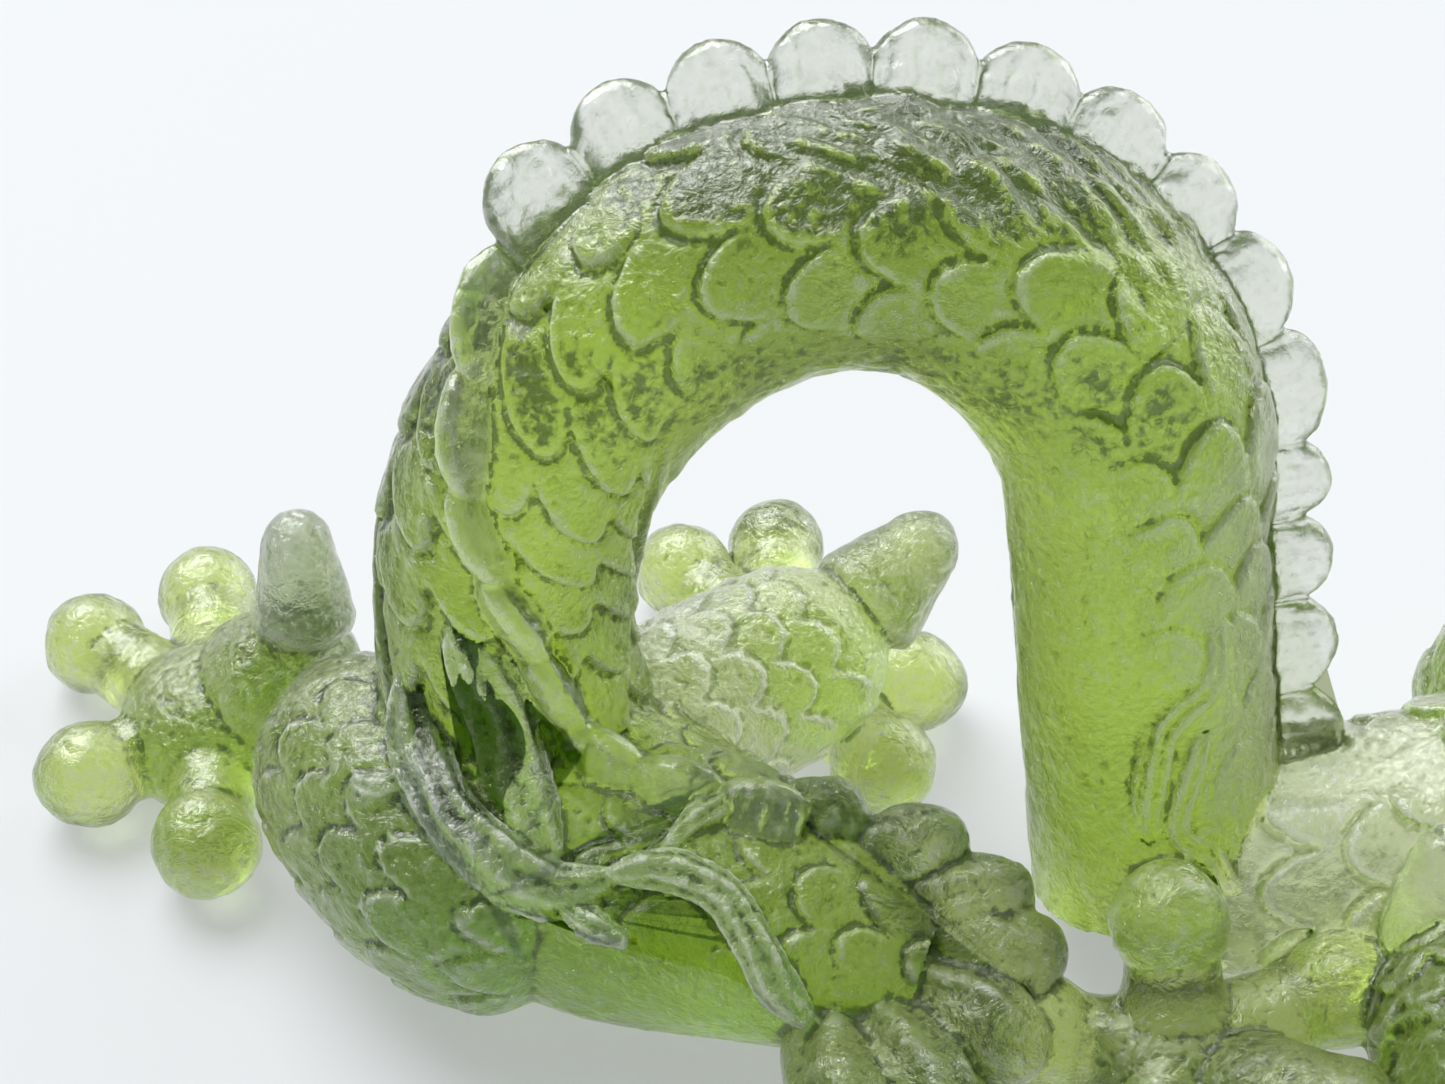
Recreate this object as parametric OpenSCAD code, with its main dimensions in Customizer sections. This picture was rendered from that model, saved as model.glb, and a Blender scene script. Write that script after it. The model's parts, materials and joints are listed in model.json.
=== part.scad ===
// A cast-glass dragon with no moving parts. Its trunk rises from the rump in one tall arch, comes down to the chest,
// and the crested head looks along +X. The origin is on the resting plane, under the rump.

/* [Trunk] */
// Distance between the two columns of the arch, centre to centre
arch_span = 47.5; // [46:0.5:49]
// Height of the trunk's centreline at the crown of the arch
arch_height = 55.5; // [54:0.5:58]
// Radius of the trunk in the arch
trunk_r = 9.8; // [9.2:0.1:10.4]

/* [Crest] */
// How far the crest's lobes stand off the back
crest_h = 6.5; // [5:0.5:7.5]
// Thickness of the crest's rim
crest_rim = 1.3; // [1:0.1:1.6]
// Number of lobes over the crown of the arch
crown_lobes = 8; // [7:1:9]

/* [Legs] */
// Radius of the ball at the end of each toe
toe_r = 4.5; // [4:0.1:4.8]
// Length of the blunt spur on each knee and elbow
spur_l = 12; // [10:0.5:14]

/* [Head] */
// Length of the horns
horn_l = 20; // [16:1:22]
// Radius of the eyes
eye_r = 2.1; // [1.8:0.1:2.4]

/* [Hidden] */

deep_green = "#4d7a1c";
mid_green = "#6f9a35";
pale_green = "#a9c46a";
clear_green = "#d7e3c4";

step = 0.01;
trunk_sides = 20;
limb_sides = 14;
thin_sides = 9;
least_tip = 0.14;
floor_size = 400;

// Rows of a sweep: x, y, z, half width, half height, and the direction of the back
column_x = -4;
column_y = 8;
crown_y = 14;
crown_shift = 3;
crown_lean = 0.55;
shoulder_swell = 0.8;
spring_z = 33;
arch_mid = column_x + arch_span / 2;
column_fall_x = column_x + arch_span;

// The crown of the arch at a turn of 0 (over the rump) to 180 (over the chest)
function crown_place(turn) = [
    arch_mid - arch_span / 2 * cos(turn) + crown_shift * sin(turn) + sin(2 * turn),
    column_y + (crown_y - column_y) * sin(turn),
    spring_z + (arch_height - spring_z) * sin(turn)
];
function crown_radii(turn) = (trunk_r + shoulder_swell * max(0, -sin(2 * turn))) * [1, 1];
// The back faces the near side low down, and the outside of the crown from there on
function crown_back(turn) =
    turn == 0 ? [-0.15, -1, 0] :
    turn == 20 ? [-0.7, -0.8, 0.35] :
    turn == 40 ? [-0.75, 0, 0.65] :
    [-cos(turn), crown_lean * sin(turn), sin(turn)];

arch_rows = [
    [-2, -1, 9, 10, 10, 0.8, -0.6, 0.6],
    [-4, 2.5, 16, trunk_r + 0.6, trunk_r, 0.8, -0.8, 0.5],
    [-5, 5, 24.5, trunk_r, trunk_r, 0.45, -1, 0.15],
    for (turn = [0:20:180]) concat(crown_place(turn), crown_radii(turn), crown_back(turn)),
    [column_fall_x + 1, 4.5, 24, trunk_r, trunk_r, 1, 0, 0],
    [column_fall_x + 2, 0, 14.5, trunk_r + 0.3, trunk_r, 1, 0, 0.1],
    [column_fall_x + 3, -3, 6, trunk_r + 0.6, trunk_r, 1, 0, 0.2]
];
arch_end = len(arch_rows) - 1;
rise_end = 5;
crown_end = 10;

rump_rows = [
    [-9, 4, 9, 8, 8, 0, 0, 1],
    [-3, -0.5, 10, 12.5, 11, 0, 0, 1],
    [5, -6, 10, 13, 10.5, 0, 0, 1],
    [13, -9.8, 10, 11, 9.6, 0, 0.1, 1],
    [20, -12.2, 9.2, 9.2, 8.6, 0.1, 0.2, 1],
    [27, -14.5, 8, 6.4, 6, 0.2, 0.2, 1]
];
rump_end = 2.5;
tail_end = len(rump_rows) - 1;

neck_rows = [
    [44, -1, 7, 8, 8, 0, 0, 1],
    [54, -3, 7.8, 10, 9.2, 0, 0, 1],
    [65, -3, 8.8, 10.5, 9.8, -0.1, 0, 1],
    [77, -1, 14, 10, 9.5, -0.4, 0, 1],
    [85, 1, 24, 8.5, 8.5, -1, 0, 0.6],
    [87, 2, 35, 7.6, 7.6, -1, 0, 0.2],
    [90, 2, 45, 7.2, 7.2, -1, 0, 0.6],
    [97, 1, 51, 6.5, 6.5, -0.4, 0, 1]
];
chest_end = 3;
neck_split = 5;
neck_end = len(neck_rows) - 1;

// Each leg: rows of the thigh, rows of the shank, the spur's foot and tip, the palm, and the toes
hind_left = [
    [[4, -8, 10.5, 10.5, 9.5], [-6, -5.6, 11, 12, 11], [-15, 2.6, 11, 10, 10], [-21.5, 13, 11.5, 7, 7.5]],
    [[-21, 13, 11, 7, 7], [-26, 16.5, 8.5, 7, 6.5], [-31, 16.5, 5, 6.5, 5]],
    [[-22.4, 15.5, 13.5], [-23.2, 20.5, 24]],
    [-31, 15.6, 4.5, 7.4],
    [[-34.5, 32.5, 4.4], [-43.4, 26, 4.4], [-40.8, 10, 4.4], [-30, 2, 4.4]]
];
hind_right = [
    [[3, 5, 11, 8, 8], [11, 10.5, 12, 8.2, 8.2], [18, 14.5, 13.5, 7, 7], [24.5, 18.5, 16.5, 4, 4]],
    [[20, 16, 12, 5, 5], [19, 21, 8, 4.8, 4.8], [17, 25, 5, 5, 4]],
    [[22.5, 17.2, 15], [30, 23, 20]],
    [17, 25, 4, 5.4],
    [[8.5, 36, 4.2], [17, 39.5, 4.2], [28.5, 21.5, 4.2], [25.5, 11.5, 4.2]]
];
fore_right = [
    [[68, -10, 9, 8.5, 8.5], [69.5, -20, 8.8, 9.5, 9.5], [67, -28, 8.5, 8.5, 8.5], [60, -31, 7.5, 6.5, 6.5]],
    [[60, -30.5, 7.5, 6, 6], [54, -27.5, 7, 5, 5], [47, -21.5, 5.5, 4.8, 4.5]],
    [[64.5, -16, 10], [65.2, -13.6, 17]],
    [46, -20.5, 4.5, 6],
    [[45.3, -14.6, 13.2], [58.5, -16, 7.6], [36, -18.5, 5.5], [42, -31.5, 4.4]]
];
fore_left = [
    [[74, 4, 11, 8, 8], [78, 11, 11.5, 8.5, 8.5], [82, 18, 11, 7, 7], [88, 22, 9.5, 5.5, 5.5]],
    [[87, 22, 10, 5.2, 5.2], [94, 22, 8, 4.6, 4.6], [100, 20, 5, 4.8, 4.5]],
    [[79, 16, 14], [74.5, 17, 22]],
    [101, 20, 4.5, 5.8],
    [[101, 32, 4.4], [112, 27, 4.4], [113.5, 15, 4.4], [103, 7.5, 4.4]]
];

// Locks and flames: a root, one or more bellies and a tip, each with its half width and half height
tail_fan_upper = [
    [[15, -8.5, 12, 3, 3], [19, -7.4, 16, 3.4, 4], [22, -6.8, 19.4, 2.8, 2.8]],
    [[20, -10, 11, 3, 3.4], [26, -9, 14.5, 3.4, 4.2], [30, -8.6, 17.8, 2.8, 2.8]],
    [[22, -12, 9.5, 3.2, 3.6], [30, -12, 12, 3.6, 4.4], [35, -12, 15.5, 2.9, 2.9]],
    [[23, -13, 8.5, 3.2, 3.6], [32, -15, 10, 3.8, 4.8], [37.5, -16, 12.5, 3.2, 3.2]]
];
tail_fan_lower = [
    [[23, -14, 7, 3.4, 3.8], [30.5, -20, 8, 4, 5], [35.5, -24, 9.5, 3.2, 3.2]],
    [[22, -15, 6, 3.4, 3.8], [26, -24.5, 7, 4, 5], [30.5, -31, 8.5, 3.2, 3.2]],
    [[20, -15, 6, 3.2, 3.6], [20.5, -25.5, 6.5, 4, 5], [23.5, -34.5, 8, 3.2, 3.2]]
];
hip_flames = [
    [[-12.5, 0, 22.5, 1.6, 1.6], [-10.5, -5, 20.5, 2, 2], [-7.2, -10.6, 18, 2, 2],
     [-3, -13, 14.8, 1.7, 1.7], [1, -14, 11.5, 1.2, 1.2]],
    [[-9.4, -1, 27.5, 1.6, 1.6], [-6, -4, 24, 2.2, 2], [-2.2, -7, 20, 2.2, 2],
     [0.4, -11.4, 16.6, 1.7, 1.7], [1.5, -13.8, 13, 1.2, 1.2]],
    [[0.5, -14.4, 12, 1.2, 1.2], [3.4, -13.2, 16, 1.6, 1.6], [7.4, -13, 17, 1.7, 1.7],
     [10.4, -14.6, 15.8, 1.5, 1.5], [13.4, -17.2, 12.4, 1.3, 1.3], [17, -19, 8, 0.9, 0.9]]
];
shoulder_flames = [
    [[48.6, -0.6, 33, 0.9, 0.9], [48.4, -3.2, 27.6, 1.3, 1.2], [45, -5.8, 24.4, 1.3, 1.2],
     [43.8, -8.2, 20, 1.2, 1.2], [43.8, -10.2, 15, 0.9, 0.9]],
    [[49, -4.6, 25, 0.8, 0.8], [47.2, -6.8, 22, 1.2, 1.1], [46.6, -9, 18, 1.2, 1.2],
     [50, -10, 14.6, 1.2, 1.2], [53, -11.2, 11.5, 0.9, 0.9]]
];

// Head, in its own frame: x forward, y left, z up
head_at = [98, 1, 52];
head_turn = [0, 6, -18];
head_scale = 1.15;

// Where everything stops: nothing reaches below the resting plane
module below_ground() translate([-floor_size / 2, -floor_size / 2, -floor_size]) cube(floor_size);

// Keeps a trimmed shape as one exact mesh
module faceted() resize([0, 0, 0]) children();

// The first child, cut off at the resting plane and by every other child
module trimmed() faceted() difference() {
    children(0);
    below_ground();
    if ($children > 1) children([1:$children - 1]);
}

function unit(v) = v / norm(v);
function place(row) = [row[0], row[1], row[2]];
function back(row) = len(row) > 5 ? [row[5], row[6], row[7]] : [0.05, 0, 1];

// A row at t, from 0 to the last row, on a smooth curve through all the rows
function row_at(rows, t) =
    let (
        last = len(rows) - 1,
        i = max(0, min(floor(t), last - 1)),
        u = t - i,
        b = rows[i],
        c = rows[i + 1],
        a = i == 0 ? 2 * b - c : rows[i - 1],
        d = i == last - 1 ? 2 * c - b : rows[i + 2]
    )
    0.5 * (2 * b + (c - a) * u + (2 * a - 5 * b + 4 * c - d) * u ^ 2 + (3 * b - a - 3 * c + d) * u ^ 3);

// The three directions of a sweep at t: along it, out of its back, and to its side
function frame_at(rows, t) =
    let (
        along = unit(place(row_at(rows, t + step)) - place(row_at(rows, t - step))),
        raw = back(row_at(rows, t)),
        up = unit(raw - (raw * along) * along)
    )
    [along, up, cross(along, up)];

// The ring of a sweep at t, its radii multiplied by grow
function ring_at(rows, t, sides, grow) =
    let (row = row_at(rows, t), axes = frame_at(rows, t))
    [for (k = [0:sides - 1])
        let (a = 360 * k / sides)
        place(row) + grow * (row[3] * sin(a) * axes[2] + row[4] * cos(a) * axes[1])];

// A closed skin over rings that all have the same number of points
module skin(rings) {
    sides = len(rings[0]);
    last = len(rings) - 1;
    walls = [for (i = [0:last - 1], k = [0:sides - 1])
        let (a = i * sides + k, b = i * sides + (k + 1) % sides)
        each [[a, b + sides, b], [a, a + sides, b + sides]]];
    start = [for (k = [0:sides - 1]) k];
    end = [for (k = [sides - 1:-1:0]) last * sides + k];
    polyhedron([for (ring = rings) each ring], concat(walls, [start, end]));
}

// A stretch of trunk with a flat face at each end
module stretch(rows, from, to, rings) {
    skin([for (i = [0:rings]) ring_at(rows, from + (to - from) * i / rings, trunk_sides, 1)]);
}

// How much of its radius a limb has at q, from 0 to 1, with a rounded tip at both ends
function tip_share(q, tips) =
    let (near = min(q / tips[0], (1 - q) / tips[1], 1))
    max(least_tip, sqrt(1 - (1 - near) ^ 2));

// A limb with rounded ends
module limb(rows, rings = 8, sides = limb_sides, tips = [0.3, 0.3]) {
    last = len(rows) - 1;
    skin([for (i = [0:rings])
        let (q = (1 - cos(180 * i / rings)) / 2)
        ring_at(rows, q * last, sides, tip_share(q, tips))]);
}

// A round ball, wider or flatter by its own radii
module ball(at, radii, sides = 12) {
    limb([
        [at[0] - radii[0], at[1], at[2], radii[1], radii[2]],
        [at[0] + radii[0], at[1], at[2], radii[1], radii[2]]
    ], rings = 7, sides = sides, tips = [0.5, 0.5]);
}

module rump_whole() stretch(rump_rows, 0, rump_end, 10);
module tail_whole() stretch(rump_rows, rump_end, tail_end, 8);
module arch_part(from, to, rings) stretch(arch_rows, from, to, rings);
module neck_part(from, to, rings) stretch(neck_rows, from, to, rings);

// Height of the crest over its own foot, at the share q of its length
function lobe_height(q, lobes) = 0.45 + 0.55 * sqrt(abs(sin(180 * q * lobes)));

// A strip of rounded lobes that stands on the back of a sweep, its height going from one value to another
module crest(rows, from, to, lobes, heights, foot = 2.4, per_lobe = 5) {
    count = lobes * per_lobe;
    sunk = 2.5;
    skin([for (i = [0:count])
        let (
            q = i / count,
            t = from + (to - from) * q,
            row = row_at(rows, t),
            axes = frame_at(rows, t),
            height = heights[0] + (heights[1] - heights[0]) * q,
            top = row[4] + height * lobe_height(q, lobes),
            mid = row[4] + height * 0.35,
            low = row[4] - sunk
        )
        [for (p = [[-foot, low], [-foot * 0.6, mid], [-crest_rim / 2, top],
                   [crest_rim / 2, top], [foot * 0.6, mid], [foot, low]])
            place(row) + p[0] * axes[2] + p[1] * axes[1]]]);
}

module neck_crest() crest(neck_rows, 2.5, neck_end - 0.9, 7, crest_h * [0.6, 0.8], per_lobe = 4);

module trunk_solids() {
    rump_whole();
    arch_part(0, arch_end, 40);
    neck_part(0, neck_end, 28);
    tail_whole();
}

module rump() color(mid_green) trimmed() rump_whole();
module tail_root() color(mid_green) trimmed() tail_whole();

module arch_rise() color(mid_green) trimmed() {
    arch_part(0, rise_end, 16);
    rump_whole();
}

module arch_crown() color(mid_green) trimmed() arch_part(rise_end, crown_end, 12);
module arch_fall() color(mid_green) trimmed() arch_part(crown_end, arch_end, 14);

module chest() color(pale_green) trimmed() {
    neck_part(0, chest_end, 10);
    arch_part(crown_end, arch_end, 14);
}

module neck_lower() color(mid_green) trimmed() neck_part(chest_end, neck_split, 8);

module neck_upper() color(mid_green) trimmed() {
    neck_part(neck_split, neck_end, 8);
    skull_whole();
}

module crest_tail() color(clear_green) trimmed() {
    crest(rump_rows, 1.4, 3.5, 3, crest_h * [0.4, 0.55]);
    trunk_solids();
    tail_locks(tail_fan_upper);
}

module crest_rise() color(clear_green) trimmed() {
    crest(arch_rows, 0.9, rise_end, 6, crest_h * [0.3, 0.6]);
    trunk_solids();
}

module crest_crown() color(clear_green) trimmed() {
    crest(arch_rows, rise_end, crown_end, crown_lobes, crest_h * [1, 0.75]);
    trunk_solids();
}

module crest_fall() color(clear_green) trimmed() {
    crest(arch_rows, crown_end, arch_end - 0.9, 6, crest_h * [0.75, 0.85]);
    trunk_solids();
}

module crest_neck() color(clear_green) trimmed() {
    neck_crest();
    trunk_solids();
    fore_arm(fore_left);
    fore_arm(fore_right);
    skull_whole();
}

// Leg parts, each from its leg's table
module thigh(leg) limb(leg[0], rings = 12, tips = [0.3, 0.25]);
module fore_arm(leg) thigh(leg);
module shank(leg) limb(leg[1], rings = 8, tips = [0.35, 0.35]);

module spur(leg) {
    foot = leg[2][0];
    tip = foot + spur_l * unit(leg[2][1] - leg[2][0]);
    limb([concat(foot, [4.2, 4]), concat((foot + tip) / 2, [3.2, 3]), concat(tip, [2, 2])],
        rings = 8, sides = thin_sides + 2, tips = [0.25, 0.2]);
}

module palm(leg) {
    at = leg[3];
    ball([at[0], at[1], at[2]], [at[3], at[3], at[3] * 0.85]);
}

module toe(leg, tip) {
    palm_at = place(leg[3]);
    out = unit(tip - palm_at);
    neck = palm_at + out * (leg[3][3] * 0.6);
    end = tip + out * (toe_r * 0.8);
    limb([concat(neck, [2.6, 2.6]), concat(tip, [toe_r, toe_r]), concat(end, [toe_r, toe_r] * 0.8)],
        rings = 7, sides = thin_sides, tips = [0.15, 0.45]);
}

module toes(leg) trimmed() {
    for (tip = leg[4]) toe(leg, tip);
    palm(leg);
    shank(leg);
    trunk_solids();
}

module hind_thigh_left() color(deep_green) trimmed() {
    thigh(hind_left);
    trunk_solids();
}

module hind_shank_left() color(mid_green) trimmed() {
    shank(hind_left);
    thigh(hind_left);
    trunk_solids();
}

module hind_spur_left() color(clear_green) trimmed() {
    spur(hind_left);
    thigh(hind_left);
    shank(hind_left);
}

module hind_paw_left() color(mid_green) trimmed() {
    palm(hind_left);
    shank(hind_left);
    thigh(hind_left);
}

module hind_toes_left() color(pale_green) toes(hind_left);

module hind_thigh_right() color(mid_green) trimmed() {
    thigh(hind_right);
    trunk_solids();
}

module hind_shank_right() color(mid_green) trimmed() {
    shank(hind_right);
    thigh(hind_right);
    trunk_solids();
}

module hind_spur_right() color(clear_green) trimmed() {
    spur(hind_right);
    thigh(hind_right);
    shank(hind_right);
}

module hind_paw_right() color(mid_green) trimmed() {
    palm(hind_right);
    shank(hind_right);
    thigh(hind_right);
}

module hind_toes_right() color(pale_green) toes(hind_right);

module fore_arm_left() color(mid_green) trimmed() {
    fore_arm(fore_left);
    trunk_solids();
}

module fore_wrist_left() color(mid_green) trimmed() {
    shank(fore_left);
    fore_arm(fore_left);
}

module fore_spur_left() color(clear_green) trimmed() {
    spur(fore_left);
    fore_arm(fore_left);
    shank(fore_left);
}

module fore_paw_left() color(mid_green) trimmed() {
    palm(fore_left);
    shank(fore_left);
}

module fore_toes_left() color(pale_green) toes(fore_left);

module fore_arm_right() color(deep_green) trimmed() {
    fore_arm(fore_right);
    trunk_solids();
}

module fore_wrist_right() color(deep_green) trimmed() {
    shank(fore_right);
    fore_arm(fore_right);
}

module fore_spur_right() color(clear_green) trimmed() {
    spur(fore_right);
    fore_arm(fore_right);
    trunk_solids();
}

module fore_paw_right() color(deep_green) trimmed() {
    palm(fore_right);
    shank(fore_right);
    trunk_solids();
}

module fore_toes_right() color(pale_green) toes(fore_right);

// Flames lie on the hip and the shoulder
module flames(table) {
    for (rows = table) limb(rows, rings = 10, sides = thin_sides, tips = [0.15, 0.2]);
}

module hip_flame() color(deep_green) trimmed() {
    flames(hip_flames);
    trunk_solids();
    thigh(hind_left);
}

module shoulder_flame() color(mid_green) trimmed() {
    flames(shoulder_flames);
    trunk_solids();
    fore_arm(fore_right);
    palm(fore_right);
}

// The tail ends in a fan of blunt locks
module tail_locks(table) {
    for (rows = table) limb(rows, rings = 8, sides = thin_sides + 2, tips = [0.2, 0.35]);
}

module tail_locks_upper() color(deep_green) trimmed() {
    tail_locks(tail_fan_upper);
    trunk_solids();
}

module tail_locks_lower() color(deep_green) trimmed() {
    tail_locks(tail_fan_lower);
    tail_locks(tail_fan_upper);
    trunk_solids();
}

// Head parts, in the head's own frame
module at_head() translate(head_at) rotate(head_turn) scale(head_scale) children();
module both_sides() {
    children();
    mirror([0, 1, 0]) children();
}

// A small limb of the head: fewer sides, and tips of its own
module sprig(rows, rings = 7, tips = [0.2, 0.3]) limb(rows, rings, thin_sides, tips);

module skull_whole() at_head() ball([0, 0, 0], [9.5, 8, 7.5]);

module muzzle_shape() {
    rows = [[4, 0, -0.5, 6.4, 5], [11, 0, -0.5, 5.4, 3.8], [17, 0, -0.5, 5, 3]];
    limb(rows, rings = 9, tips = [0.2, 0.25]);
}

module jaw_shape() {
    rows = [[1, 0, -5, 4.6, 2.6], [8, 0, -7, 4, 2], [14.5, 0, -7.5, 3.4, 1.7]];
    limb(rows, tips = [0.2, 0.3]);
}

module nose_shape() {
    ball([17.5, 0, 1.8], [2.4, 3.2, 2.2], thin_sides);
    both_sides() ball([17, 2.8, 1.1], [2, 1.5, 1.5], thin_sides);
}

module skull() color(mid_green) trimmed() skull_whole();

module muzzle() color(mid_green) trimmed() {
    at_head() muzzle_shape();
    skull_whole();
}

module lower_jaw() color(mid_green) trimmed() {
    at_head() jaw_shape();
    skull_whole();
    neck_part(neck_split, neck_end, 8);
    at_head() muzzle_shape();
}

module nose() color(pale_green) trimmed() {
    at_head() nose_shape();
    at_head() muzzle_shape();
}

module fang_shape() {
    sprig([[14, 3.2, -2, 0.9, 0.9], [14.3, 3.4, -4, 0.7, 0.7], [14.6, 3.6, -5.6, 0.4, 0.4]], rings = 5);
}

module fangs() color(clear_green) trimmed() {
    at_head() both_sides() fang_shape();
    at_head() muzzle_shape();
    at_head() jaw_shape();
}

module tongue() color(pale_green) trimmed() {
    at_head() sprig([[6, 0, -5, 2, 0.8], [11, 0, -4.9, 2, 0.7], [16.5, 0, -4.6, 1.2, 0.6]]);
    skull_whole();
    at_head() muzzle_shape();
    at_head() jaw_shape();
}

module brow_shape() sprig([[6.6, 2.2, 4.8, 1.6, 1.4], [3.5, 5.2, 5.7, 1.9, 1.7], [-1.5, 7.3, 6.1, 1.2, 1.1]]);

module brows() color(deep_green) trimmed() {
    at_head() both_sides() brow_shape();
    skull_whole();
    at_head() muzzle_shape();
}

module eyes() color(clear_green) trimmed() {
    at_head() both_sides() ball([5.6, 5, 2.6], [eye_r, eye_r, eye_r]);
    skull_whole();
    at_head() muzzle_shape();
    at_head() both_sides() brow_shape();
}

module ear_shape() sprig([[-2, 7, 2.5, 1.8, 1.4], [-6, 10, 4.5, 2.4, 1], [-11, 12, 6, 0.9, 0.6]]);

module ears() color(pale_green) trimmed() {
    at_head() both_sides() ear_shape();
    skull_whole();
}

module horn_shape() {
    beam = [[0, 3.5, 6, 1.9, 1.9], [-horn_l * 0.4, 5, 9.5, 1.6, 1.6], [-horn_l, 7, 10.5, 0.9, 0.9]];
    tine = [[-horn_l * 0.35, 4.8, 9, 1.2, 1.2], [-horn_l * 0.5, 5.2, 13, 0.8, 0.8]];
    sprig(beam, 9, [0.1, 0.2]);
    sprig(tine, 5, [0.2, 0.4]);
}

module horns() color(clear_green) trimmed() {
    at_head() both_sides() horn_shape();
    skull_whole();
    at_head() both_sides() brow_shape();
}

// Locks of the mane, on the head's left side
mane_locks = [
    [[-2, 6.5, -1, 2.2, 2.2], [-8, 9, 0, 2.4, 2.4], [-15, 10.5, 2.5, 1.1, 1.1]],
    [[-1.5, 6.5, -4, 2.2, 2.2], [-7, 9.5, -5.5, 2.4, 2.4], [-14, 11, -4.5, 1.1, 1.1]],
    [[0.5, 5.5, -6, 2, 2], [-5, 8.5, -10, 2.2, 2.2], [-11.5, 10, -11.5, 1, 1]]
];
module mane_shape() for (rows = mane_locks) sprig(rows, 8, [0.15, 0.3]);

module mane_trims() {
    skull_whole();
    neck_part(neck_split, neck_end, 8);
    at_head() both_sides() ear_shape();
    at_head() both_sides() horn_shape();
    at_head() jaw_shape();
    neck_crest();
}

module mane_left() color(deep_green) trimmed() {
    at_head() mane_shape();
    mane_trims();
}

module mane_right() color(deep_green) trimmed() {
    at_head() mirror([0, 1, 0]) mane_shape();
    mane_trims();
}

module beard_lock(across) {
    sprig([[9 - abs(across) / 3, across, -7.6, 1.6, 1.6], [8, across, -12, 1.2, 1.5], [9.5, across * 1.3, -16, 0.7, 0.7]]);
}

module beard() color(deep_green) trimmed() {
    at_head() for (across = [-2.5, 0, 2.5])
        beard_lock(across);
    at_head() jaw_shape();
}

module whiskers() color(clear_green) trimmed() {
    rows = [[16, 4, 0, 0.9, 0.9], [15, 9, 0.5, 0.9, 0.9], [8, 12.5, 1.5, 0.9, 0.9], [0, 14, -1, 0.7, 0.7]];
    at_head() both_sides() sprig(rows, 10, [0.1, 0.1]);
    at_head() muzzle_shape();
    at_head() nose_shape();
    at_head() both_sides() ear_shape();
    at_head() both_sides() mane_shape();
}

rump();
tail_root();
arch_rise();
arch_crown();
arch_fall();
chest();
neck_lower();
neck_upper();
crest_tail();
crest_rise();
crest_crown();
crest_fall();
crest_neck();
hind_thigh_left();
hind_shank_left();
hind_spur_left();
hind_paw_left();
hind_toes_left();
hind_thigh_right();
hind_shank_right();
hind_spur_right();
hind_paw_right();
hind_toes_right();
fore_arm_left();
fore_wrist_left();
fore_spur_left();
fore_paw_left();
fore_toes_left();
fore_arm_right();
fore_wrist_right();
fore_spur_right();
fore_paw_right();
fore_toes_right();
hip_flame();
shoulder_flame();
tail_locks_upper();
tail_locks_lower();
skull();
muzzle();
lower_jaw();
nose();
fangs();
tongue();
brows();
eyes();
ears();
horns();
mane_left();
mane_right();
beard();
whiskers();
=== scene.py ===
"""A cast-glass dragon on a white table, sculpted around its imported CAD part.

Shapes are worked out in millimetres, in the CAD's own frame (+X towards the head, -Y towards the
camera, +Z up), and turned to metres when a mesh is made. The body is swept, fused into one skin,
carved, and then cut into one closed piece for each part of the figure.
"""
import itertools
import json
import math

import bpy
import numpy as np
from mathutils import Euler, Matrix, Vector, kdtree


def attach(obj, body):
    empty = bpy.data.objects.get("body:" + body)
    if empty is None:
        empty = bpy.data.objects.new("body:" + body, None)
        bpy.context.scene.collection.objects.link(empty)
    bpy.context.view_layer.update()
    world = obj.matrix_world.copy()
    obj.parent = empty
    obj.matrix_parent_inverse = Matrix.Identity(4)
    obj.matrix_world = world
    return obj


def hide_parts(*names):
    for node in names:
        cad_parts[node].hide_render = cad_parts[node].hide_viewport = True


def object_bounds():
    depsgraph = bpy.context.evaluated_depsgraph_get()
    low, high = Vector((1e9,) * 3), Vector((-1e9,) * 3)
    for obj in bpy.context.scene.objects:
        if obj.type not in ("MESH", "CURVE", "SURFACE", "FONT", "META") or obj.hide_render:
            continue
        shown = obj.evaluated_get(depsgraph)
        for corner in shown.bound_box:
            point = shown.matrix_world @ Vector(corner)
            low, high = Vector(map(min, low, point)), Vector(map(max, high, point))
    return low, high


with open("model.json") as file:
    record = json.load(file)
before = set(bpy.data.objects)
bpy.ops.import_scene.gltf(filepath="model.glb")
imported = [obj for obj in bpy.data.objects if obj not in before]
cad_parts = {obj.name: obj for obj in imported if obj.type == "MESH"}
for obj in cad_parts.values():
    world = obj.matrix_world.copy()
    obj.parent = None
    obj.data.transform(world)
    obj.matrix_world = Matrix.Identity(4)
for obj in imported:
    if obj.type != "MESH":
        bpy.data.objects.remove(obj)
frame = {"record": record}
cad_low, cad_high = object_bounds()

MM = 0.001
GRAIN = 0.27   # size of a face of the fused skin, mm
STEP = 0.01                            # share of a row over which a sweep's direction is taken
LAP = 0.02                             # share of a row by which stretches of trunk lap one another
HAIR = 0.0025                          # how far each side of a seam is drawn back, mm

# ---------------------------------------------------------------- the figure's own sizes, in mm

ARCH_SPAN = 47.5
ARCH_HEIGHT = 55.5
TRUNK_R = 9.8
CREST_H = 6.5
TOE_R = 4.5
SPUR_L = 12.0
HORN_L = 20.0
EYE_R = 2.1
RIB_SINK = (0, 0.4, -0.3)              # moves the ribs into the skin
RIB_BACK = (0, -0.8, 0.6)              # the way that their broad side faces
INSET = 0.01                           # how far the skin stays inside the CAD box, mm
FULL_SHADE_DEPTH = 0.12                            # depth of a hollow at which its painted shade is at its darkest, mm
PALM_SPREAD = 1.15                     # a palm's width and height, as shares of its radius
PALM_FLATNESS = 0.9

COLUMN_X = -4.0
COLUMN_Y = 8.0
CROWN_Y = 14.0
SPRING_Z = 33.0


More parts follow.
